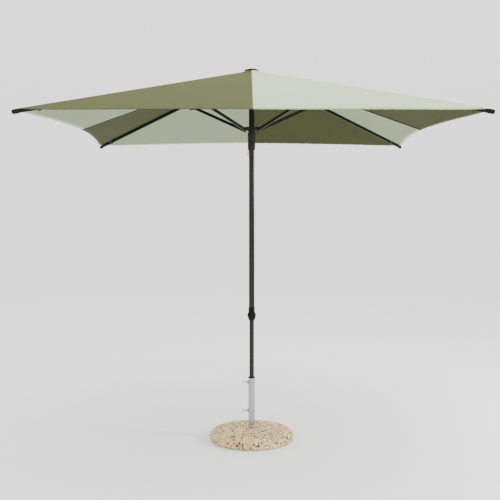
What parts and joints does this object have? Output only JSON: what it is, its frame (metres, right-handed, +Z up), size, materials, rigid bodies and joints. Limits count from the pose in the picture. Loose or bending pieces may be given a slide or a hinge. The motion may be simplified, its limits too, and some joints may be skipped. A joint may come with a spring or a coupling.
{
  "type": "patio umbrella",
  "caption": "Square patio umbrella with a two-colour canopy on corner ribs, a push-up runner, a telescopic mast and a round aggregate base with clamp screws.",
  "frame": {"origin": "on the mast's axis, at the ground under the base", "axes": "+Z up along the mast; +X and +Y square to the canopy's sides; the clamp screws stand on the -X side"},
  "size_m": [2.4994, 2.4994, 2.4873],
  "materials": {
    "concrete": "matte",
    "galvanised_steel": "satin",
    "zinc_hardware": "satin",
    "black_plastic": "matte",
    "grey_plastic": "matte",
    "coated_steel": "gloss",
    "olive_cloth": "matte",
    "sage_cloth": "matte"
  },
  "bodies": {
    "base": {"base_slab": "concrete", "anchor_plate": "galvanised_steel", "base_tube": "galvanised_steel", "tube_collar": "galvanised_steel", "lower_screw_boss": "galvanised_steel", "upper_screw_boss": "galvanised_steel"},
    "mast_sleeve": {"reducer_sleeve": "black_plastic"},
    "lower_mast": {"lower_pole": "coated_steel", "lower_pole_plug": "black_plastic", "pole_guide_bush": "black_plastic"},
    "upper_mast": {"upper_pole": "coated_steel", "clamp_collar": "black_plastic", "clamp_collet": "grey_plastic", "crown_hub": "black_plastic", "crown_stud": "zinc_hardware", "canopy_crown": "olive_cloth", "top_cap": "black_plastic", "rib_1_crown_pin": "zinc_hardware", "rib_2_crown_pin": "zinc_hardware", "rib_3_crown_pin": "zinc_hardware", "rib_4_crown_pin": "zinc_hardware"},
    "clamp_nut": {"clamp_nut": "black_plastic"},
    "runner": {"runner_body": "grey_plastic", "trigger_pin": "zinc_hardware", "trigger_spring": "zinc_hardware", "runner_pin_1": "zinc_hardware", "runner_pin_2": "zinc_hardware", "runner_pin_3": "zinc_hardware", "runner_pin_4": "zinc_hardware"},
    "release_trigger": {"release_trigger": "black_plastic"},
    "upper_wing_screw": {"upper_wing_screw": "zinc_hardware"},
    "lower_wing_screw": {"lower_wing_screw": "zinc_hardware"},
    "rib_1": {"rib_1": "coated_steel", "rib_1_bracket": "coated_steel", "rib_1_bracket_pin": "zinc_hardware", "rib_1_tip": "black_plastic", "canopy_1_olive": "olive_cloth", "canopy_1_sage": "sage_cloth"},
    "stretcher_1": {"stretcher_1": "coated_steel"},
    "rib_2": {"rib_2": "coated_steel", "rib_2_bracket": "coated_steel", "rib_2_bracket_pin": "zinc_hardware", "rib_2_tip": "black_plastic", "canopy_2_olive": "olive_cloth", "canopy_2_sage": "sage_cloth"},
    "stretcher_2": {"stretcher_2": "coated_steel"},
    "rib_3": {"rib_3": "coated_steel", "rib_3_bracket": "coated_steel", "rib_3_bracket_pin": "zinc_hardware", "rib_3_tip": "black_plastic", "canopy_3_olive": "olive_cloth", "canopy_3_sage": "sage_cloth"},
    "stretcher_3": {"stretcher_3": "coated_steel"},
    "rib_4": {"rib_4": "coated_steel", "rib_4_bracket": "coated_steel", "rib_4_bracket_pin": "zinc_hardware", "rib_4_tip": "black_plastic", "canopy_4_olive": "olive_cloth", "canopy_4_sage": "sage_cloth"},
    "stretcher_4": {"stretcher_4": "coated_steel"}
  },
  "joints": [
    {"name": "mast_turn", "type": "hinge", "parent": "base", "child": "mast_sleeve", "pos_m": [0, 0, 0.4], "axis": [0, 0, 1], "continuous": true},
    {"name": "mast_lift", "type": "slide", "parent": "mast_sleeve", "child": "lower_mast", "axis": [0, 0, 1], "range_m": [0, 0.4]},
    {"name": "height_slide", "type": "slide", "parent": "lower_mast", "child": "upper_mast", "axis": [0, 0, 1], "range_m": [-0.36, 0.1]},
    {"name": "clamp_twist", "type": "hinge", "parent": "upper_mast", "child": "clamp_nut", "pos_m": [0, 0, 0.825], "axis": [0, 0, 1], "range_deg": [0, 120]},
    {"name": "canopy_fold", "type": "hinge", "parent": "upper_mast", "child": "rib_1", "pos_m": [0.03253, 0.03253, 2.457], "axis": [-0.7071, 0.7071, 0], "range_deg": [0, 71.5], "deforming": ["canopy_1_olive", "canopy_1_sage"]},
    {"name": "stretcher_1_fold", "type": "hinge", "parent": "rib_1", "child": "stretcher_1", "pos_m": [0.43762, 0.43762, 2.27181], "axis": [-0.7071, 0.7071, 0], "range_deg": [-143, 0]},
    {"name": "rib_2_fold", "type": "hinge", "parent": "upper_mast", "child": "rib_2", "pos_m": [-0.03253, 0.03253, 2.457], "axis": [-0.7071, -0.7071, 0], "range_deg": [0, 71.5], "deforming": ["canopy_2_olive", "canopy_2_sage"]},
    {"name": "stretcher_2_fold", "type": "hinge", "parent": "rib_2", "child": "stretcher_2", "pos_m": [-0.43762, 0.43762, 2.27181], "axis": [-0.7071, -0.7071, 0], "range_deg": [-143, 0]},
    {"name": "rib_3_fold", "type": "hinge", "parent": "upper_mast", "child": "rib_3", "pos_m": [-0.03253, -0.03253, 2.457], "axis": [0.7071, -0.7071, 0], "range_deg": [0, 71.5], "deforming": ["canopy_3_olive", "canopy_3_sage"]},
    {"name": "stretcher_3_fold", "type": "hinge", "parent": "rib_3", "child": "stretcher_3", "pos_m": [-0.43762, -0.43762, 2.27181], "axis": [0.7071, -0.7071, 0], "range_deg": [-143, 0]},
    {"name": "rib_4_fold", "type": "hinge", "parent": "upper_mast", "child": "rib_4", "pos_m": [0.03253, -0.03253, 2.457], "axis": [0.7071, 0.7071, 0], "range_deg": [0, 71.5], "deforming": ["canopy_4_olive", "canopy_4_sage"]},
    {"name": "stretcher_4_fold", "type": "hinge", "parent": "rib_4", "child": "stretcher_4", "pos_m": [0.43762, -0.43762, 2.27181], "axis": [0.7071, 0.7071, 0], "range_deg": [-143, 0]},
    {"name": "runner_slide", "type": "hinge", "parent": "stretcher_1", "child": "runner", "pos_m": [0.03253, 0.03253, 2.08662], "axis": [-0.7071, 0.7071, 0], "range_deg": [0, 71.5]},
    {"name": "trigger_press", "type": "hinge", "parent": "runner", "child": "release_trigger", "pos_m": [-0.0228, 0, 1.96012], "axis": [0, -1, 0], "range_deg": [0, 3.2], "stiffness_Nm_per_rad": 0.6, "springref_deg": -5.73},
    {"name": "lower_screw_turn", "type": "hinge", "parent": "base", "child": "lower_wing_screw", "pos_m": [-0.03, 0, 0.192], "axis": [-1, 0, 0], "range_deg": [0, 540]},
    {"name": "upper_screw_turn", "type": "hinge", "parent": "base", "child": "upper_wing_screw", "pos_m": [-0.03, 0, 0.384], "axis": [-1, 0, 0], "range_deg": [0, 540]}
  ],
  "couplings": [
    {"joint": "stretcher_1_fold", "follows": "canopy_fold", "ratio": -2},
    {"joint": "rib_2_fold", "follows": "canopy_fold", "ratio": 1},
    {"joint": "stretcher_2_fold", "follows": "canopy_fold", "ratio": -2},
    {"joint": "rib_3_fold", "follows": "canopy_fold", "ratio": 1},
    {"joint": "stretcher_3_fold", "follows": "canopy_fold", "ratio": -2},
    {"joint": "rib_4_fold", "follows": "canopy_fold", "ratio": 1},
    {"joint": "stretcher_4_fold", "follows": "canopy_fold", "ratio": -2},
    {"joint": "runner_slide", "follows": "canopy_fold", "ratio": 1}
  ]
}
